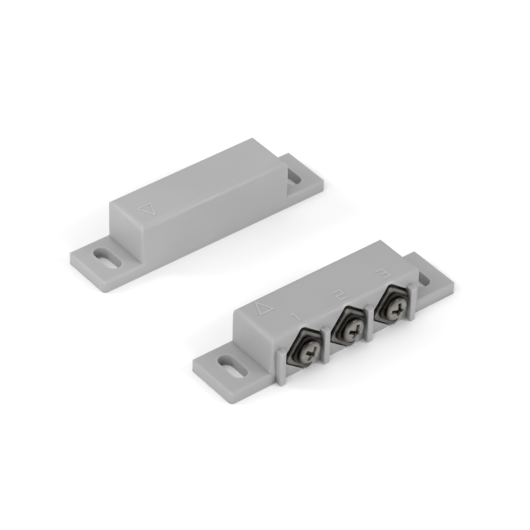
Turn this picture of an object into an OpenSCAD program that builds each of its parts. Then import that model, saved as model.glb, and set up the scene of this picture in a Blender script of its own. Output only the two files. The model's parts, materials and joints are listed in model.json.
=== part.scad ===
// Surface door contact set: a switch unit with three screw terminals and a separate magnet unit.
// Millimetres, +Z up. The origin is the centre of the switch unit's mounting face,
// +X runs along the units and +Y points from the switch unit to the magnet unit.

/* [Both units] */
// Length of each unit over its two mounting ears
unit_length = 64; // [60:1:70]
// Thickness of the mounting ears
ear_thickness = 3; // [2.4:0.1:3.4]
// Rounding of the block's upright and top edges
block_fillet = 1.4; // [0.8:0.1:1.5]
// Rounding of the ears' upright corners
ear_corner = 1; // [0.5:0.1:1.2]
// Rounding along the ears' top edges
ear_fillet = 0.7; // [0.3:0.1:0.9]
// Thickness of the moulded walls
wall = 1.5; // [1.2:0.1:1.6]
// Width of the mounting slots
slot_width = 3.8; // [3.4:0.1:4.2]
// End-to-end length of the mounting slots, across the ear
slot_length = 8.5; // [7:0.5:9]
// Distance from each end of a unit to the middle of its slot
slot_inset = 6; // [5.6:0.1:6.4]

/* [Switch unit] */
// Width of the switch unit
switch_width = 14.6; // [14:0.2:16]
// Height of the switch unit's block
switch_height = 12.4; // [12:0.2:14]
// Length of the switch unit's ears
switch_ear = 10.8; // [10.4:0.2:11.4]
// Distance between neighbouring terminals
terminal_pitch = 12.3; // [12:0.1:12.6]
// Position of the first terminal along the unit
first_terminal_x = -11.7; // [-12:0.1:-11.4]
// Height of the terminal screws above the mounting face
terminal_z = 5.8; // [5.6:0.1:6]
// Position of the first rib along the unit
first_rib_x = -19; // [-19.2:0.1:-18.8]
// Thickness of the ribs beside the terminals
rib_thickness = 1.5; // [1.2:0.1:1.8]
// How far the ribs stand out from the front wall
rib_reach = 1.7; // [1.2:0.1:2]
// Height of the ribs' tops above the mounting face
rib_top = 9.2; // [8.7:0.1:10.5]

/* [Terminals] */
// Side of the square terminal recesses, which stand on a corner
recess_side = 9.4; // [9:0.1:9.4]
// How far the squares are turned from standing upright on a corner, in degrees
square_turn = 7.3; // [5:0.1:9]
// Side of the square contact plates
contact_side = 8.3; // [7.8:0.1:8.4]
// Side of the square clamp plates
clamp_side = 6.6; // [6.2:0.1:6.8]
// Radius of the terminal screws' heads
head_radius = 3; // [2.6:0.1:3.1]
// Height of the terminal screws' heads
head_height = 1.4; // [1.2:0.1:1.6]
// Radius of the terminal screws' shanks
shank_radius = 1.45; // [1.4:0.05:1.5]

/* [Reed switch] */
// Length of the reed switch's glass tube
glass_length = 15; // [14:0.5:16]
// Outer radius of the glass tube
glass_radius = 1.5; // [1.4:0.1:1.6]
// Distance of the reed switch behind the middle of the unit
reed_y = 3.4; // [3:0.1:3.6]

/* [Magnet unit] */
// Width of the magnet unit
magnet_unit_width = 14; // [13.6:0.2:15]
// Height of the magnet unit's block
magnet_unit_height = 13.2; // [12.8:0.2:13.8]
// Length of the magnet unit's ears
magnet_unit_ear = 10.9; // [10.5:0.2:11.5]
// Distance between the units' centre lines with the door open
open_spacing = 46.5; // [44:0.5:50]
// Length of the bar magnet
magnet_length = 32; // [26:1:34]
// Width and height of the bar magnet
magnet_side = 6; // [5:0.5:6.5]

/* [Hidden] */
$fn = 64;
eps = 0.01;
tall = 40;                      // longer than any part a cutter goes through
long_edge_extra = 0.1;          // the long top edges are rounded a little more
cover_thickness = 1.2;
cover_inset = 0.2;              // base covers sit this far above the mounting face
cover_clearance = 0.05;
cavity_floor = cover_inset + cover_thickness;
mark_height = 0.12;             // raised marks on the tops
mark_line = 0.4;
mark_inset = 5.4;               // from the block's left end to the arrow marks
switch_mark_y = 3.3;
magnet_mark_y = -2.1;
arrow_length = 3.9;
arrow_width = 3.4;
numeral_inset = 3.6;            // from the front wall to the numerals
numeral_width = 1.8;
numeral_height = 2.8;
one_flag = [0.6, 0.55];         // how far the 1's flag reaches left and down
three_bar = 1.4;                // length of the 3's middle bar
switch_lean = [0.3, 0.5, 0.5, 0.2]; // how far the block's front, back, left and right lean in
magnet_lean = [0.6, 0.4, 0.2, 0.5];
front = -switch_width / 2;
front_wall = 2.6;               // thick enough to take the terminal recesses
recess_depth = 1.1;
recess_floor = front + recess_depth;
recess_corner = 1.6;
rib_count = 4;
rib_bottom = 0.1;
rib_nose = 0.35;                // rounding of the ribs' outer corners
terminal_count = 3;
contact_thickness = 1.6;
contact_corner = 1.2;
clamp_gap = 0.12;
clamp_thickness = 0.5;
clamp_reach = 4;                // the clamp plates' corners are rounded off at this radius
plate_to_rib = 0.12;
bore_clearance = 0.05;
wall_bore_clearance = 0.35;
wall_bore = shank_radius + wall_bore_clearance;
contact_front = recess_floor - contact_thickness;
clamp_back = contact_front - clamp_gap;
clamp_front = clamp_back - clamp_thickness;
head_back = clamp_front - clamp_gap;
nut_side = 5.5;
nut_thickness = 2.2;
nut_front = front + front_wall;
nut_stop_gap = 0.05;
nut_stop_width = 0.9;
shank_past_nut = 1.6;
shank_end = nut_front + nut_thickness + shank_past_nut;
head_dome = 0.9;                // height of the heads' domed part
cross_length = 4;
cross_width = 0.9;
cross_depth = 0.9;
cross_turn = 20;
tab_width = 1.8;
tab_thickness = 0.6;
tab_rise = 3.5;                 // of the tabs above the screws' axes
tab_z = terminal_z + tab_rise;
tab_reach = 1.9;                // of the tabs behind the front wall
tab_end = nut_front + tab_reach;
tab_clearance = 0.05;
reed_z = 6.2;
glass_wall = 0.35;
seal_length = 2.2;              // solid glass at each end of the tube
blade_thickness = 0.2;
blade_width = 1.2;
blade_slot = 0.7;               // opening round the moving blade's root
blade_clearance = 0.1;
blade_pivot = 0.6;              // from the tube's left end to the moving blade's pivot
blade_root = 0.4;               // from the pivot to the blade's own end
fixed_contact_start = 1.2;
contact_overlap = 2.7;          // of the moving blade and the fixed contacts
blade_length = glass_length / 2 - blade_pivot + blade_root + fixed_contact_start + contact_overlap;
contact_offset = 0.42;          // fixed contacts' middle planes either side of the tube's axis
common_tilt = 0.9;              // degrees, the resting lean of the moving blade
lead_reach = 2.5;
reed_bed_inset = 1;             // from the tube's ends to the resin's
reed_bed_back = 2;
reed_bed_front = 2.2;
reed_bed_rise = 0.2;            // above the tube's axis
wire_radius = 0.45;
magnet_bed_height = 5.6;
magnet_bed_margin = 1.5;
magnet_front_gap = 0.4;         // between the magnet and the wall facing the switch unit

plastic = [0.72, 0.73, 0.70];
nickel = [0.74, 0.72, 0.68];
glass = [0.75, 0.85, 0.82];
resin = [0.16, 0.16, 0.17];

function unit(v) = v / norm(v);
function terminal_x(i) = first_terminal_x + i * terminal_pitch;
function rib_x(i) = first_rib_x + i * terminal_pitch;

// A convex outline, points in order, with a true arc of radius radii[i] at each corner
module rounded_outline(points, radii) {
  n = len(points);
  corners = [
    for (i = [0:n - 1])
      let (
        p = points[i],
        a = unit(points[(i + n - 1) % n] - p),
        b = unit(points[(i + 1) % n] - p),
        half = acos(a * b) / 2
      )
      [p + a * radii[i] / tan(half), p + b * radii[i] / tan(half), p + unit(a + b) * radii[i] / sin(half)]
  ];
  polygon([for (i = [0:n - 1]) each (radii[i] > 0 ? [corners[i][0], corners[i][1]] : [points[i]])]);
  for (i = [0:n - 1])
    if (radii[i] > 0)
      translate(corners[i][2])
        circle(r = radii[i]);
}

// Extrudes a front-view outline (x, z) from y0 to y1
module along_y(y0, y1)
  translate([0, y1, 0])
    rotate([90, 0, 0])
      linear_extrude(y1 - y0)
        children();

// Extrudes a side-view outline (y, z) from x0 to x1
module along_x(x0, x1)
  translate([x0, 0, 0])
    rotate([90, 0, 90])
      linear_extrude(x1 - x0)
        children();

// The block of a housing, leaning in above the flange; lean holds the top's set-back at front,
// back, left and right
module block(width, height, ear, lean) {
  x = unit_length / 2 - ear;
  y = width / 2;
  t = ear_thickness;
  r = block_fillet;
  q = r + long_edge_extra;
  intersection() {
    along_y(-tall, tall)
      rounded_outline([[-x, 0], [x, 0], [x - lean[3], height], [-x + lean[2], height]], [0, 0, r, r]);
    along_x(-tall, tall)
      rounded_outline(
        [[-y, 0], [y, 0], [y, t], [y - lean[1], height], [-y + lean[0], height], [-y, t]],
        [0, 0, 0, q, q, 0]
      );
    linear_extrude(tall)
      rounded_outline([[-x, -y], [x, -y], [x, y], [-x, y]], [r, r, r, r]);
  }
}

// The flange whose two ends are the mounting ears
module flange(width) {
  x = unit_length / 2;
  y = width / 2;
  t = ear_thickness;
  f = ear_fillet;
  intersection() {
    along_y(-tall, tall)
      rounded_outline([[-x, 0], [x, 0], [x, t], [-x, t]], [0, 0, f, f]);
    along_x(-tall, tall)
      rounded_outline([[-y, 0], [y, 0], [y, t], [-y, t]], [0, 0, f, f]);
    linear_extrude(tall)
      rounded_outline([[-x, -y], [x, -y], [x, y], [-x, y]], [for (i = [0:3]) ear_corner]);
  }
}

module mounting_slots()
  for (side = [-1, 1])
    translate([side * (unit_length / 2 - slot_inset), 0, -eps])
      linear_extrude(ear_thickness + 2 * eps) {
        for (end = [-1, 1])
          translate([0, end * (slot_length - slot_width) / 2])
            circle(d = slot_width);
        square([slot_width, slot_length - slot_width], center = true);
      }

// Hollow inside of a housing, open at the mounting face
module cavity(x, y_front, y_back, height)
  translate([-x, y_front, -eps])
    cube([2 * x, y_back - y_front, height - wall + eps]);

module base_cover(x, y_front, y_back)
  translate([-x + cover_clearance, y_front + cover_clearance, cover_inset])
    cube([2 * (x - cover_clearance), y_back - y_front - 2 * cover_clearance, cover_thickness]);

// Raised triangle outline that marks the end to be lined up with the other unit
module arrow_mark() {
  corners = [
    [-arrow_width / 2, arrow_length / 2],
    [arrow_width / 2, arrow_length / 2],
    [0, -arrow_length / 2]
  ];
  inner_radius = arrow_width * arrow_length / (arrow_width + 2 * norm([arrow_width / 2, arrow_length]));
  middle = [0, arrow_length / 2 - inner_radius];
  grow = mark_line / 2 / inner_radius;
  difference() {
    polygon([for (c = corners) middle + (c - middle) * (1 + grow)]);
    polygon([for (c = corners) middle + (c - middle) * (1 - grow)]);
  }
}

// A stroke with round ends between two points
module stroke(a, b) {
  d = b - a;
  translate(a)
    rotate(atan2(d[1], d[0]))
      translate([0, -mark_line / 2])
        square([norm(d), mark_line]);
  for (p = [a, b])
    translate(p)
      circle(d = mark_line);
}

module path_strokes(points)
  for (i = [0:len(points) - 2])
    stroke(points[i], points[i + 1]);

// Plain numerals drawn as strokes on a field of two squares
module numeral(value) {
  x = numeral_width / 2;
  y = numeral_height / 2;
  if (value == 1)
    path_strokes([[-one_flag[0], y - one_flag[1]], [0, y], [0, -y]]);
  if (value == 2)
    path_strokes([[-x, y], [x, y], [x, 0], [-x, 0], [-x, -y], [x, -y]]);
  if (value == 3) {
    path_strokes([[-x, y], [x, y], [x, -y], [-x, -y]]);
    stroke([x - three_bar, 0], [x, 0]);
  }
}

// A square with rounded corners standing nearly upright on one of them, seen from the front
module diamond(side, corner) {
  h = side / 2;
  rotate(45 + square_turn)
    rounded_outline([[-h, -h], [h, -h], [h, h], [-h, h]], [for (i = [0:3]) corner]);
}

// Places a front-view shape at terminal i, from y0 to y1
module at_terminal(i, y0, y1)
  along_y(y0, y1)
    translate([terminal_x(i), terminal_z])
      children();

// Ends a shape short of the rib that stands over its right-hand corner
module clear_of_rib(i, gap)
  intersection() {
    children();
    translate([-tall, -tall, -tall])
      cube([tall + rib_x(i + 1) - rib_thickness / 2 - gap, 2 * tall, 2 * tall]);
  }

// Reaches back to the recess floor, so that it closes the recesses at both its sides
module rib(i) {
  x = rib_thickness / 2;
  y = front - rib_reach;
  translate([rib_x(i), 0, rib_bottom])
    linear_extrude(rib_top - rib_bottom)
      rounded_outline(
        [[-x, y], [x, y], [x, recess_floor + eps], [-x, recess_floor + eps]],
        [rib_nose, rib_nose, 0, 0]
      );
}

module switch_housing() {
  x = unit_length / 2 - switch_ear - wall;
  color(plastic) {
    difference() {
      union() {
        flange(switch_width);
        block(switch_width, switch_height, switch_ear, switch_lean);
      }
      mounting_slots();
      cavity(x, nut_front, switch_width / 2 - wall, switch_height);
      for (i = [0:terminal_count - 1]) {
        clear_of_rib(i, -rib_thickness / 2)
          at_terminal(i, front - tall, recess_floor)
            diamond(recess_side, recess_corner);
        at_terminal(i, front, nut_front + eps)
          circle(r = wall_bore);
        translate([terminal_x(i), (recess_floor + nut_front) / 2, tab_z])
          cube([tab_width + 2 * tab_clearance, front_wall, tab_thickness + 2 * tab_clearance], center = true);
      }
    }
    for (i = [0:rib_count - 1])
      rib(i);
    translate([-unit_length / 2 + switch_ear + mark_inset, switch_mark_y, switch_height - eps])
      linear_extrude(mark_height + eps)
        rotate(180)
          arrow_mark();
    for (i = [0:terminal_count - 1])
      translate([terminal_x(i), front + numeral_inset, switch_height - eps])
        linear_extrude(mark_height + eps)
          numeral(i + 1);
    // walls that stop the nuts turning
    for (i = [0:terminal_count - 1])
      for (side = [-1, 1])
        translate([
          terminal_x(i) + side * (nut_side / 2 + nut_stop_gap + nut_stop_width / 2),
          nut_front + nut_thickness / 2 - eps,
          terminal_z
        ])
          cube([nut_stop_width, nut_thickness + 2 * eps, nut_side], center = true);
  }
}

module switch_base_cover()
  color(plastic)
    base_cover(unit_length / 2 - switch_ear - wall, nut_front, switch_width / 2 - wall);

module contact_plate(i)
  color(nickel)
    difference() {
      union() {
        clear_of_rib(i, plate_to_rib)
          at_terminal(i, contact_front, recess_floor)
            diamond(contact_side, contact_corner);
        translate([terminal_x(i) - tab_width / 2, recess_floor - eps, tab_z - tab_thickness / 2])
          cube([tab_width, tab_end - recess_floor + eps, tab_thickness]);
      }
      at_terminal(i, front - tall, front + tall)
        circle(r = shank_radius + bore_clearance);
    }

module clamp_plate(i)
  color(nickel)
    difference() {
      at_terminal(i, clamp_front, clamp_back)
        intersection() {
          diamond(clamp_side, 0);
          circle(r = clamp_reach);
        }
      at_terminal(i, front - tall, front + tall)
        circle(r = shank_radius + bore_clearance);
    }

// Domed head on a plain shank, with a cross recess
module terminal_screw(i) {
  dome_radius = (head_radius * head_radius + head_dome * head_dome) / (2 * head_dome);
  color(nickel)
    translate([terminal_x(i), head_back, terminal_z])
      rotate([90, 0, 0])
        difference() {
          union() {
            intersection() {
              cylinder(r = head_radius, h = head_height);
              translate([0, 0, head_height - dome_radius])
                sphere(r = dome_radius);
            }
            translate([0, 0, head_back - shank_end])
              cylinder(r = shank_radius, h = shank_end - head_back + eps);
          }
          for (turn = [0, 90])
            rotate(turn + cross_turn)
              translate([0, 0, head_height])
                cube([cross_length, cross_width, 2 * cross_depth], center = true);
        }
}

module terminal_nut(i)
  color(nickel)
    difference() {
      translate([terminal_x(i), nut_front + nut_thickness / 2, terminal_z])
        cube([nut_side, nut_thickness, nut_side], center = true);
      at_terminal(i, front - tall, front + tall)
        circle(r = shank_radius + bore_clearance);
    }

// Rod along X about the reed switch's axis, from x0 to x1
module reed_rod(radius, x0, x1)
  translate([x0, reed_y, reed_z])
    rotate([0, 90, 0])
      cylinder(r = radius, h = x1 - x0);

// The tube's ends are solid except round the fixed contacts and the moving blade's root
module reed_glass()
  color(glass)
    difference() {
      reed_rod(glass_radius, -glass_length / 2, glass_length / 2);
      reed_rod(glass_radius - glass_wall, -glass_length / 2 + seal_length, glass_length / 2 - seal_length);
      translate([
        -glass_length / 2 - eps,
        reed_y - blade_slot / 2,
        reed_z - blade_width / 2 - blade_clearance
      ])
        cube([seal_length + 2 * eps, blade_slot, blade_width + 2 * blade_clearance]);
      for (side = [-1, 1])
        translate([glass_length / 2 - seal_length - eps, reed_y + side * contact_offset - blade_thickness / 2,
                   reed_z - blade_width / 2])
          cube([seal_length + 2 * eps, blade_thickness, blade_width]);
    }

// Turns about the upright axis at its root, between the two fixed contacts
module reed_common_blade()
  color(nickel)
    translate([-glass_length / 2 + blade_pivot, reed_y, reed_z])
      rotate([0, 0, -common_tilt])
        translate([-blade_root, -blade_thickness / 2, -blade_width / 2])
          cube([blade_length, blade_thickness, blade_width]);

module reed_contact(side)
  color(nickel)
    translate([
      fixed_contact_start,
      reed_y + side * contact_offset - blade_thickness / 2,
      reed_z - blade_width / 2
    ])
      cube([glass_length / 2 + lead_reach - fixed_contact_start, blade_thickness, blade_width]);

// Resin that holds the tube by its lower half
module reed_bed()
  color(resin)
    difference() {
      translate([-glass_length / 2 + reed_bed_inset, reed_y - reed_bed_front, cavity_floor])
        cube([
          glass_length - 2 * reed_bed_inset,
          reed_bed_front + reed_bed_back,
          reed_z + reed_bed_rise - cavity_floor
        ]);
      reed_rod(glass_radius, -glass_length, glass_length);
    }

// Round wire through a list of points
module wire(points)
  color(nickel) {
    for (i = [0:len(points) - 2]) {
      d = points[i + 1] - points[i];
      translate(points[i])
        rotate([0, acos(d[2] / norm(d)), atan2(d[1], d[0])])
          cylinder(r = wire_radius, h = norm(d));
    }
    for (i = [1:len(points) - 2])
      translate(points[i])
        sphere(r = wire_radius);
  }

// Runs from a terminal's tab over the reed switch and down to it: wire 1 to the moving blade,
// wires 2 and 3 to the fixed contacts
module lead_wire(i) {
  lift = tab_z + tab_thickness / 2 + wire_radius;
  contact_side_y = contact_offset + blade_thickness / 2 + wire_radius;
  drop_x = i == 0 ? -glass_length / 2 - lead_reach / 2 : glass_length / 2 + lead_reach - wire_radius;
  drop_y = reed_y + [0, -contact_side_y, contact_side_y][i];
  run = [
    [terminal_x(i), tab_end - 2 * wire_radius, lift],
    [terminal_x(i), drop_y, lift],
    [drop_x, drop_y, lift],
    [drop_x, drop_y, reed_z]
  ];
  wire(i == 0 ? concat(run, [[-glass_length / 2, reed_y, reed_z]]) : run);
}

module magnet_housing() {
  x = unit_length / 2 - magnet_unit_ear - wall;
  y = magnet_unit_width / 2;
  color(plastic)
    translate([0, open_spacing, 0]) {
      difference() {
        union() {
          flange(magnet_unit_width);
          block(magnet_unit_width, magnet_unit_height, magnet_unit_ear, magnet_lean);
        }
        mounting_slots();
        cavity(x, -y + wall, y - wall, magnet_unit_height);
      }
      translate([-unit_length / 2 + magnet_unit_ear + mark_inset, magnet_mark_y, magnet_unit_height - eps])
        linear_extrude(mark_height + eps)
          arrow_mark();
    }
}

module magnet_base_cover() {
  x = unit_length / 2 - magnet_unit_ear - wall;
  y = magnet_unit_width / 2 - wall;
  color(plastic)
    translate([0, open_spacing, 0])
      base_cover(x, -y, y);
}

module magnet_bar_shape(grow)
  translate([
    -magnet_length / 2 - grow,
    open_spacing - magnet_unit_width / 2 + wall + magnet_front_gap - grow,
    magnet_unit_height / 2 - magnet_side / 2 - grow
  ])
    cube([magnet_length + 2 * grow, magnet_side + 2 * grow, magnet_side + 2 * grow]);

module bar_magnet()
  color([0.35, 0.36, 0.38])
    magnet_bar_shape(0);

// Resin under and behind the magnet
module magnet_bed()
  color(resin)
    difference() {
      translate([
        -magnet_length / 2 - magnet_bed_margin,
        open_spacing - magnet_unit_width / 2 + wall,
        cavity_floor
      ])
        cube([magnet_length + 2 * magnet_bed_margin, magnet_unit_width - 2 * wall, magnet_bed_height]);
      magnet_bar_shape(0);
      translate([0, 0, magnet_side / 2])
        magnet_bar_shape(0);
    }

switch_housing();
switch_base_cover();
contact_plate(0);  // contact_plate_1
contact_plate(1);  // contact_plate_2
contact_plate(2);  // contact_plate_3
clamp_plate(0);  // clamp_plate_1
clamp_plate(1);  // clamp_plate_2
clamp_plate(2);  // clamp_plate_3
terminal_screw(0);  // terminal_screw_1
terminal_screw(1);  // terminal_screw_2
terminal_screw(2);  // terminal_screw_3
terminal_nut(0);  // terminal_nut_1
terminal_nut(1);  // terminal_nut_2
terminal_nut(2);  // terminal_nut_3
reed_glass();
reed_common_blade();
reed_contact(-1);  // reed_nc_contact
reed_contact(1);  // reed_no_contact
reed_bed();
lead_wire(0);  // lead_wire_1
lead_wire(1);  // lead_wire_2
lead_wire(2);  // lead_wire_3
magnet_housing();
magnet_base_cover();
bar_magnet();
magnet_bed();
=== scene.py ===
import json
import math

import bmesh
import bpy
from mathutils import Matrix, Vector


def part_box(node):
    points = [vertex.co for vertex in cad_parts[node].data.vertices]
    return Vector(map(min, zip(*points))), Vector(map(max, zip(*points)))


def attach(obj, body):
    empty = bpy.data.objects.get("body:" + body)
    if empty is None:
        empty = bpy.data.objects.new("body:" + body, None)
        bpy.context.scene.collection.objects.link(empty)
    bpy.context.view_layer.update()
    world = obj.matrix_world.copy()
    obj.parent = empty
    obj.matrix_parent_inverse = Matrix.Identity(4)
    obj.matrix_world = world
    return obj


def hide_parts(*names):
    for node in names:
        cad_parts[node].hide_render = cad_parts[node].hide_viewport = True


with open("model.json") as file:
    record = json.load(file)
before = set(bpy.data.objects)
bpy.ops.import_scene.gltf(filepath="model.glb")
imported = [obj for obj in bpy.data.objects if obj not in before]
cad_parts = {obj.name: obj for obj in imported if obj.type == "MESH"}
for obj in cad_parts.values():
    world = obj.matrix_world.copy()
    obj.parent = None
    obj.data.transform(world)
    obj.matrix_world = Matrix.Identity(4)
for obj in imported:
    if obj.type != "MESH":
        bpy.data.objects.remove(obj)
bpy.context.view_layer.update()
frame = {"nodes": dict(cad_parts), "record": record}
nodes = frame["nodes"]
MM = 0.001
TERMINALS = (1, 2, 3)


# ---------------------------------------------------------------- materials

class Graph:
    """A material's node tree with short calls for the nodes used here."""

    def __init__(self, name):
        self.material = bpy.data.materials.new(name)
        self.material.use_nodes = True
        self.tree = self.material.node_tree
        self.tree.nodes.clear()
        self.output = self.tree.nodes.new("ShaderNodeOutputMaterial")
        self.shader = self.tree.nodes.new("ShaderNodeBsdfPrincipled")
        self.link(self.shader.outputs["BSDF"], self.output.inputs["Surface"])
        self.coords = self.tree.nodes.new("ShaderNodeTexCoord").outputs["Object"]

    def link(self, source, target):
        self.tree.links.new(source, target)

    def set(self, **values):
        """Sets shader inputs by name, with _ for a space."""
        for name, value in values.items():
            self.shader.inputs[name.replace("_", " ")].default_value = value

    def stretched(self, scale, turn=(0, 0, 0)):
        """Coordinates scaled and turned, for a pattern with a direction."""
        node = self.tree.nodes.new("ShaderNodeMapping")
        node.inputs["Scale"].default_value = scale
        node.inputs["Rotation"].default_value = turn
        self.link(self.coords, node.inputs["Vector"])
        return node.outputs["Vector"]

    def noise(self, scale, detail=2.0, roughness=0.5, vector=None):
        node = self.tree.nodes.new("ShaderNodeTexNoise")
        node.inputs["Scale"].default_value = scale
        node.inputs["Detail"].default_value = detail
        node.inputs["Roughness"].default_value = roughness
        self.link(vector or self.coords, node.inputs["Vector"])
        return node.outputs["Fac"]

    def ramp(self, value, stops):
        """Blends between two (position, colour) stops."""
        node = self.tree.nodes.new("ShaderNodeValToRGB")
        for element, (position, colour) in zip(node.color_ramp.elements, stops):
            element.position = position
            element.color = (*colour, 1)
        self.link(value, node.inputs["Fac"])
        return node.outputs["Color"]

    def range(self, value, low, high, start=0.3, end=0.7):
        """Maps start to end onto low to high."""
        node = self.tree.nodes.new("ShaderNodeMapRange")
        node.inputs["From Min"].default_value = start
        node.inputs["From Max"].default_value = end
        node.inputs["To Min"].default_value = low
        node.inputs["To Max"].default_value = high
        self.link(value, node.inputs["Value"])
        return node.outputs["Result"]

    def mix(self, a, b, factor):
        """Goes from a to b, each a colour or a socket, as the factor's socket goes from 0 to 1."""
        node = self.tree.nodes.new("ShaderNodeMix")
        node.data_type = "RGBA"
        for socket, value in ((node.inputs["A"], a), (node.inputs["B"], b)):
            if isinstance(value, bpy.types.NodeSocket):
                self.link(value, socket)
            else:
                socket.default_value = (*value, 1)
        self.link(factor, node.inputs["Factor"])
        return node.outputs["Result"]

    def openness(self, distance, inside=False):
        """Near 1 on open faces, less in narrow openings or, with inside, along outer edges."""
        node = self.tree.nodes.new("ShaderNodeAmbientOcclusion")
        node.samples = 8
        node.inside = inside
        node.inputs["Distance"].default_value = distance
        return node.outputs["AO"]

    def position(self, axis):
        """Position along X, Y or Z, in metres."""
        node = self.tree.nodes.new("ShaderNodeSeparateXYZ")
        self.link(self.coords, node.inputs["Vector"])
        return node.outputs[axis]

    def colour(self, value):
        self.link(value, self.shader.inputs["Base Color"])

    def roughness(self, value):
        self.link(value, self.shader.inputs["Roughness"])

    def bumps(self, *layers):
        """Each layer is (height, distance in millimetres, strength)."""
        normal = None
        for height, distance, strength in layers:
            node = self.tree.nodes.new("ShaderNodeBump")
            node.inputs["Distance"].default_value = distance * MM
            node.inputs["Strength"].default_value = strength
            self.link(height, node.inputs["Height"])
            if normal:
                self.link(normal, node.inputs["Normal"])
            normal = node.outputs["Normal"]
        self.link(normal, self.shader.inputs["Normal"])


def shade(colour, factor):
    return tuple(c * factor for c in colour)


OPENING_SPAN = 3 * MM
EDGE_SPAN = 0.9 * MM
MARK_FADE = 0.04 * MM


def moulded_plastic(name, colour, rough=(0.34, 0.48), marks_from=None):
    """Grey plastic, dark with painted shade in its narrow openings and paler with a painted
    highlight along its outer edges.

    Above the height marks_from, where the raised marks are, it gets the painted highlight too.
    """
    scuffed, painted_shade, painted_highlight = shade(colour, 0.88), shade(colour, 0.25), shade(colour, 1.2)
    g = Graph(name)
    clouds = g.noise(55, 3)
    grain = g.noise(3800, 2, 0.6)
    scuffs = g.noise(900, 4, 0.7, g.stretched((1, 7, 3), (0.3, 0.2, 0.7)))
    base = g.ramp(clouds, [(0.3, shade(colour, 0.965)), (0.7, shade(colour, 1.03))])
    base = g.mix(base, scuffed, g.range(scuffs, 0.0, 0.25, 0.62, 0.8))
    # Painted shade: the plastic goes dark where ambient occlusion finds narrow openings, such as
    # the slots.
    base = g.mix(painted_shade, base, g.range(g.openness(OPENING_SPAN), 0.0, 1.0, 0.30, 0.60))
    # Painted highlight: the outer edges are painted paler, as if catching the light.
    outer_edges = g.range(g.openness(EDGE_SPAN, inside=True), 1.0, 0.0, 0.45, 0.9)
    base = g.mix(base, painted_highlight, outer_edges)
    # Painted highlight on the raised marks above marks_from.
    if marks_from:
        marks = g.range(g.position("Z"), 0.0, 1.0, marks_from, marks_from + MARK_FADE)
        base = g.mix(base, painted_highlight, marks)
    g.colour(base)
    g.roughness(g.range(g.noise(420, 3), *rough))
    g.bumps((grain, 0.006, 0.5), (g.noise(240, 2), 0.02, 0.25))
    g.set(IOR=1.46)
    return g.material


def plated_metal(name, colour, rough=(0.2, 0.4), tarnish=0.5, brush=(1, 1, 1), shade_depths=None):
    """Stained, scratched metal. Between the two places along Y given for painted shade it goes
    almost black.
    """
    g = Graph(name)
    stains = g.noise(420, 4, 0.65)
    scratches = g.noise(5200, 3, 0.6, g.stretched(brush))
    base = g.ramp(stains, [(0.32, shade(colour, tarnish)), (0.6, colour)])
    base = g.mix(base, shade(colour, 0.8), g.range(scratches, 0.0, 0.35, 0.5, 0.75))
    if shade_depths:
        # Painted shade: the metal fades to almost black deeper along Y, towards the wall.
        base = g.mix(base, shade(colour, 0.08), g.range(g.position("Y"), 0.0, 1.0, *shade_depths))
    g.colour(base)
    g.roughness(g.range(g.noise(900, 3, 0.6), *rough))
    g.bumps((scratches, 0.008, 0.6), (g.noise(700, 2), 0.02, 0.3))
    g.set(Metallic=1.0)
    return g.material


def cast_resin(name, colour):
    g = Graph(name)
    mottle = g.noise(300, 4)
    g.colour(g.ramp(mottle, [(0.3, shade(colour, 0.7)), (0.7, shade(colour, 1.5))]))
    g.roughness(g.range(g.noise(700, 2), 0.25, 0.5))
    g.bumps((g.noise(260, 3), 0.12, 0.5))
    return g.material


def reed_glass_material():
    g = Graph("reed_tube_glass")
    tint = (0.80, 0.90, 0.85)
    g.colour(g.ramp(g.noise(300, 2), [(0.3, shade(tint, 0.95)), (0.7, tint)]))
    g.roughness(g.range(g.noise(500, 2), 0.03, 0.10))
    g.bumps((g.noise(400, 2), 0.02, 0.2))
    g.set(IOR=1.5, Transmission_Weight=0.92)
    return g.material


def magnet_metal():
    g = Graph("ground_magnet")
    marks = g.noise(2400, 4, 0.7, g.stretched((0.08, 1, 1)))
    g.colour(g.ramp(marks, [(0.3, (0.10, 0.10, 0.11)), (0.7, (0.26, 0.26, 0.27))]))
    g.roughness(g.range(g.noise(500, 3), 0.3, 0.55))
    g.bumps((marks, 0.02, 0.6))
    g.set(Metallic=0.85)
    return g.material


MAGNET_GREY = (0.350, 0.352, 0.350)
SWITCH_GREY = (0.318, 0.320, 0.318)
NICKEL = (0.20, 0.19, 0.175)
DARK_PLATE_AND_SHADE = (0.045, 0.043, 0.040)
HEAD_NICKEL = (0.31, 0.293, 0.268)
NICKEL_IRON = (0.66, 0.63, 0.55)
TIN = (0.70, 0.70, 0.69)
RESIN = (0.03, 0.03, 0.034)
MAGNET_MARKS_FROM = 13.22 * MM
SWITCH_MARKS_FROM = 12.42 * MM
# Places along Y where the screws' painted shade begins and where it is full.
HEAD_SHADE_DEPTHS = (-9.42 * MM, -9.02 * MM)
looks = {
    "housing_plastic": moulded_plastic(
        "grey_magnet_housing", MAGNET_GREY, marks_from=MAGNET_MARKS_FROM),
    "cover_plastic": moulded_plastic(
        "grey_cover", shade(SWITCH_GREY, 0.92), rough=(0.5, 0.65)),
    "nickel_plate": plated_metal("nickel_plate", NICKEL, rough=(0.24, 0.42), tarnish=0.55),
    "screw_steel": plated_metal(
        "screw_nickel", HEAD_NICKEL, rough=(0.22, 0.40), tarnish=0.7, shade_depths=HEAD_SHADE_DEPTHS),
    "tube_glass": reed_glass_material(),
    "reed_metal": plated_metal(
        "reed_nickel_iron", NICKEL_IRON, rough=(0.2, 0.35), tarnish=0.75, brush=(0.1, 1, 1)),
    "resin": cast_resin("black_resin", RESIN),
    "tinned_wire": plated_metal("tinned_wire", TIN, rough=(0.22, 0.4), tarnish=0.8),
    "magnet_metal": magnet_metal(),
}

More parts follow.
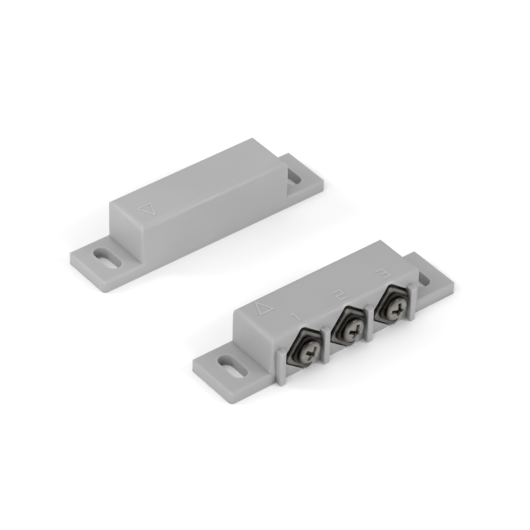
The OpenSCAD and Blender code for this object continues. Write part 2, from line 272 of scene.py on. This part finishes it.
# The clamp plates are near-black metal. The darkness also stands in as painted shade in the gaps
# round the screw heads.
dark_plate_and_shade = plated_metal("dark_plate_and_shade", DARK_PLATE_AND_SHADE, rough=(0.3, 0.45), tarnish=0.6)
switch_plastic = moulded_plastic(
    "grey_switch_housing", SWITCH_GREY, marks_from=SWITCH_MARKS_FROM)


def dress(obj, material):
    if not obj.material_slots:
        obj.data.materials.append(material)
    for place in obj.material_slots:
        place.material = material


slots = {s["node"]: s["material_slot"] for s in frame["record"]["subparts"]}
for node, obj in nodes.items():
    dress(obj, looks[slots[node]])
for i in TERMINALS:
    dress(nodes[f"clamp_plate_{i}"], dark_plate_and_shade)
dress(nodes["switch_housing"], switch_plastic)


# ---------------------------------------------------------------- shape helpers

def mesh_object(name, bm, material):
    mesh = bpy.data.meshes.new(name)
    bm.normal_update()
    bm.to_mesh(mesh)
    bm.free()
    obj = bpy.data.objects.new(name, mesh)
    bpy.context.scene.collection.objects.link(obj)
    mesh.materials.append(material)
    return obj


WELD_DISTANCE = 1e-7
FLAT_WITHIN = math.radians(0.5)
SOFTEN_OVER = math.radians(28)


def soften(obj, width):
    """Rounds a CAD node's hard moulded edges a little."""
    weld = obj.modifiers.new("weld", "WELD")
    weld.merge_threshold = WELD_DISTANCE
    flat = obj.modifiers.new("flat", "DECIMATE")
    flat.decimate_type = "DISSOLVE"
    flat.angle_limit = FLAT_WITHIN
    flat.delimit = set()
    bevel = obj.modifiers.new("bevel", "BEVEL")
    bevel.width = width
    bevel.segments = 2
    bevel.limit_method = "ANGLE"
    bevel.angle_limit = SOFTEN_OVER
    bevel.miter_outer = "MITER_ARC"
    bevel.use_clamp_overlap = True
    bevel.harden_normals = False


def revolve(bm, profile, axis_point, axis, steps):
    """Turns (radius, height) points about an axis and joins the rings."""
    z = Vector(axis).normalized()
    x = z.orthogonal().normalized()
    y = z.cross(x)
    rings = []
    for radius, height in profile:
        centre = Vector(axis_point) + z * height
        if radius < 1e-9:
            rings.append([bm.verts.new(centre)])
            continue
        rings.append([
            bm.verts.new(centre + (x * math.cos(t) + y * math.sin(t)) * radius)
            for t in (2 * math.pi * i / steps for i in range(steps))
        ])
    for a, b in zip(rings, rings[1:]):
        for i in range(steps):
            j = (i + 1) % steps
            if len(a) == 1:
                bm.faces.new((a[0], b[j], b[i]))
            elif len(b) == 1:
                bm.faces.new((a[i], a[j], b[0]))
            else:
                bm.faces.new((a[i], a[j], b[j], b[i]))


def apply_modifiers(obj):
    bpy.context.view_layer.update()
    evaluated = obj.evaluated_get(bpy.context.evaluated_depsgraph_get())
    mesh = bpy.data.meshes.new_from_object(evaluated)
    obj.modifiers.clear()
    obj.data = mesh


# ---------------------------------------------------------------- housings

HOUSING_EDGE = 0.12 * MM
COVER_EDGE = 0.2 * MM
CONTACT_EDGE = 0.08 * MM
CLAMP_EDGE = 0.10 * MM

for node in ("switch_housing", "magnet_housing"):
    soften(nodes[node], HOUSING_EDGE)
for node in ("switch_base_cover", "magnet_base_cover"):
    soften(nodes[node], COVER_EDGE)
for i in TERMINALS:
    soften(nodes[f"contact_plate_{i}"], CONTACT_EDGE)
    soften(nodes[f"clamp_plate_{i}"], CLAMP_EDGE)


# ---------------------------------------------------------------- terminal screws

HEAD_HEIGHT = 1.4 * MM
HEAD_DOME = 0.9 * MM
HEAD_ROUNDING = 0.35 * MM
FOOT_ROUNDING = 0.12 * MM
HEAD_EDGE = 0.05 * MM
HEAD_STEPS = 72
SHOULDER_STEPS = 6
DOME_STEPS = 10
CROSS_REACH = 2.6 * MM
CROSS_WIDTH = 1.1 * MM
CROSS_DEPTH = 1.0 * MM
CROSS_FOOT_REACH = CROSS_REACH * 0.5
CROSS_FOOT_WIDTH = CROSS_WIDTH * 0.75
CUTTER_RISE = 0.4 * MM
CROSS_TURNS = {1: 8, 2: 20, 3: 35}
SHANK_RADIUS = 1.45 * MM
THREAD_PITCH = 0.5 * MM
THREAD_DEPTH = 0.23 * MM
THREAD_STEPS = 10
RING_STEPS = 40


def add_loft(bm, foot, top):
    """Closes a solid between two loops of the same length."""
    low = [bm.verts.new(point) for point in foot]
    high = [bm.verts.new(point) for point in top]
    bm.faces.new(low[::-1])
    bm.faces.new(high)
    for i, vertex in enumerate(low):
        j = (i + 1) % len(low)
        bm.faces.new((vertex, low[j], high[j], high[i]))


def cross_cutter(name, centre, out, turn):
    """A tapering cross-point bit, to be cut from a screw head."""
    corners = ((1, 1), (-1, 1), (-1, -1), (1, -1))
    x = out.orthogonal().normalized()
    y = out.cross(x)
    bm = bmesh.new()
    for arm in range(2):
        angle = turn + arm * math.pi / 2
        along = x * math.cos(angle) + y * math.sin(angle)
        across = out.cross(along)
        loops = []
        for height, reach, width in (
            (-CROSS_DEPTH, CROSS_FOOT_REACH, CROSS_FOOT_WIDTH),
            (CUTTER_RISE, CROSS_REACH, CROSS_WIDTH),
        ):
            loops.append([
                centre + out * height + along * u * reach + across * v * width / 2
                for u, v in corners
            ])
        add_loft(bm, *loops)
    bmesh.ops.recalc_face_normals(bm, faces=bm.faces)
    return mesh_object(name, bm, looks["screw_steel"])


def head_profile(radius):
    """(radius, height) points: a cut foot, a short straight side, a round shoulder, a dome."""
    dome_radius = (radius ** 2 + HEAD_DOME ** 2) / (2 * HEAD_DOME)

    def dome(r):
        return HEAD_HEIGHT - dome_radius + math.sqrt(dome_radius ** 2 - r ** 2)

    side = HEAD_HEIGHT - HEAD_DOME
    points = [(0, 0), (radius - FOOT_ROUNDING, 0), (radius, FOOT_ROUNDING)]
    low = Vector((radius, side - HEAD_ROUNDING))
    corner = Vector((radius, side))
    high = Vector((radius - HEAD_ROUNDING, dome(radius - HEAD_ROUNDING)))
    for k in range(SHOULDER_STEPS + 1):
        t = k / SHOULDER_STEPS
        points.append(tuple(low * (1 - t) ** 2 + corner * 2 * t * (1 - t) + high * t ** 2))
    for k in range(1, DOME_STEPS + 1):
        r = high.x * (1 - k / DOME_STEPS)
        points.append((r, dome(r)))
    return points


def screw_head(i, axis, out, radius):
    bm = bmesh.new()
    revolve(bm, head_profile(radius), axis, out, HEAD_STEPS)
    bmesh.ops.recalc_face_normals(bm, faces=bm.faces)
    head = mesh_object(f"screw_head_{i}", bm, looks["screw_steel"])
    turn = math.radians(CROSS_TURNS[i])
    cutter = cross_cutter(f"cutter_{i}", axis + out * HEAD_HEIGHT, out, turn)
    cut = head.modifiers.new("cross", "BOOLEAN")
    cut.operation = "DIFFERENCE"
    cut.solver = "EXACT"
    cut.use_self = True
    cut.object = cutter
    bevel = head.modifiers.new("edges", "BEVEL")
    bevel.width = HEAD_EDGE
    bevel.segments = 2
    bevel.limit_method = "ANGLE"
    bevel.angle_limit = math.radians(35)
    apply_modifiers(head)
    bpy.data.objects.remove(cutter)
    return head


def screw_thread(i, axis, out, length):
    """The shank, with a helical thread that fades out at the tip."""
    bm = bmesh.new()
    rings = []
    count = round(length / THREAD_PITCH * THREAD_STEPS)
    for k in range(count + 1):
        depth = length * k / count
        fade = min(1, (length - depth) / THREAD_PITCH)
        ring = []
        for s in range(RING_STEPS):
            angle = 2 * math.pi * s / RING_STEPS
            wave = abs((depth / THREAD_PITCH + s / RING_STEPS) % 1 * 2 - 1)
            radius = (SHANK_RADIUS - THREAD_DEPTH * (1 - wave)) * (0.8 + 0.2 * fade)
            outward = Vector((math.cos(angle), 0, math.sin(angle)))
            ring.append(bm.verts.new(axis - out * depth + outward * radius))
        rings.append(ring)
    for a, b in zip(rings, rings[1:]):
        for s in range(RING_STEPS):
            j = (s + 1) % RING_STEPS
            bm.faces.new((a[s], a[j], b[j], b[s]))
    bm.faces.new(rings[0])
    bm.faces.new(rings[-1][::-1])
    bmesh.ops.recalc_face_normals(bm, faces=bm.faces)
    return mesh_object(f"screw_thread_{i}", bm, looks["screw_steel"])


def terminal_screw(i):
    node = f"terminal_screw_{i}"
    low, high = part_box(node)
    out = Vector((0, -1, 0))
    axis = Vector(((low.x + high.x) / 2, low.y + HEAD_HEIGHT, (low.z + high.z) / 2))
    head = screw_head(i, axis, out, (high.x - low.x) / 2)
    for polygon in head.data.polygons:
        polygon.use_smooth = True
    thread = screw_thread(i, axis, out, high.y - axis.y)
    for piece in (head, thread):
        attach(piece, f"screw_{i}")
        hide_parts(node)


for i in TERMINALS:
    terminal_screw(i)


# ---------------------------------------------------------------- floor, light and camera

FLOOR_GAP = 0.02 * MM
WORLD_STRENGTH = 0.60
AIM = Vector((0, 0.022, 0.005))
# name, position, size and power, in metres and watts
LIGHTS = (
    ("key", (-0.45, -0.10, 0.60), 0.5, 1.7),
    ("low", (-0.48, -0.50, 0.14), 0.3, 1.2),
    ("front_edges", (0.40, -0.52, 0.50), 0.25, 2.0),
    ("back_edges", (-0.50, 0.50, 0.42), 0.25, 1.5),
    ("top", (0.1, 0.35, 0.8), 0.8, 1.0),
)


def floor():
    bm = bmesh.new()
    bmesh.ops.create_grid(bm, x_segments=8, y_segments=8, size=1.5)
    g = Graph("pale_floor")
    white = (1, 1, 1)
    g.colour(g.ramp(g.noise(40, 2), [(0.3, shade(white, 0.90)), (0.7, shade(white, 0.915))]))
    g.roughness(g.range(g.noise(200, 2), 0.75, 0.85))
    obj = mesh_object("floor", bm, g.material)
    obj.location.z = -FLOOR_GAP


def area_light(name, position, size, power):
    data = bpy.data.lights.new(name, "AREA")
    data.shape = "DISK"
    data.size = size
    data.energy = power
    obj = bpy.data.objects.new(name, data)
    obj.location = position
    obj.rotation_euler = (AIM - Vector(position)).to_track_quat("-Z", "Y").to_euler()
    bpy.context.scene.collection.objects.link(obj)


floor()
for light in LIGHTS:
    area_light(*light)

world = bpy.data.worlds.new("studio")
world.use_nodes = True
background = world.node_tree.nodes["Background"]
background.inputs["Color"].default_value = (1, 1, 1, 1)
background.inputs["Strength"].default_value = WORLD_STRENGTH
bpy.context.scene.world = world
bpy.context.scene.view_settings.view_transform = "Standard"


# The camera as fitted to the photograph, whose frame is square; angles are in degrees,
# and the focal length and the optical centre are in its pixels.
CAMERA_AZIMUTH = -39.15
CAMERA_ELEVATION = 39.18
CAMERA_ROLL = 1.66
CAMERA_DISTANCE = 0.714
CAMERA_FOCAL = 3164.1
CAMERA_CENTRE = (264.6, 262.9)
FRAME_SIZE = 530
FRAME_MIDDLE = 265
SENSOR_WIDTH = 36


def camera():
    azimuth = math.radians(CAMERA_AZIMUTH)
    elevation = math.radians(CAMERA_ELEVATION)
    roll = math.radians(CAMERA_ROLL)
    back = Vector((
        math.sin(azimuth) * math.cos(elevation),
        -math.cos(azimuth) * math.cos(elevation),
        math.sin(elevation),
    ))
    right = Vector((math.cos(azimuth), math.sin(azimuth), 0))
    up = back.cross(right)
    x = right * math.cos(roll) + up * math.sin(roll)
    y = up * math.cos(roll) - right * math.sin(roll)
    data = bpy.data.cameras.new("camera")
    data.sensor_width = SENSOR_WIDTH
    data.lens = SENSOR_WIDTH * CAMERA_FOCAL / FRAME_SIZE
    data.shift_x = (FRAME_MIDDLE - CAMERA_CENTRE[0]) / FRAME_SIZE
    data.shift_y = (CAMERA_CENTRE[1] - FRAME_MIDDLE) / FRAME_SIZE
    data.clip_start = 0.01
    obj = bpy.data.objects.new("camera", data)
    place = Matrix.Translation(AIM + back * CAMERA_DISTANCE)
    obj.matrix_world = place @ Matrix((x, y, back)).transposed().to_4x4()
    bpy.context.scene.collection.objects.link(obj)
    bpy.context.scene.camera = obj


camera()
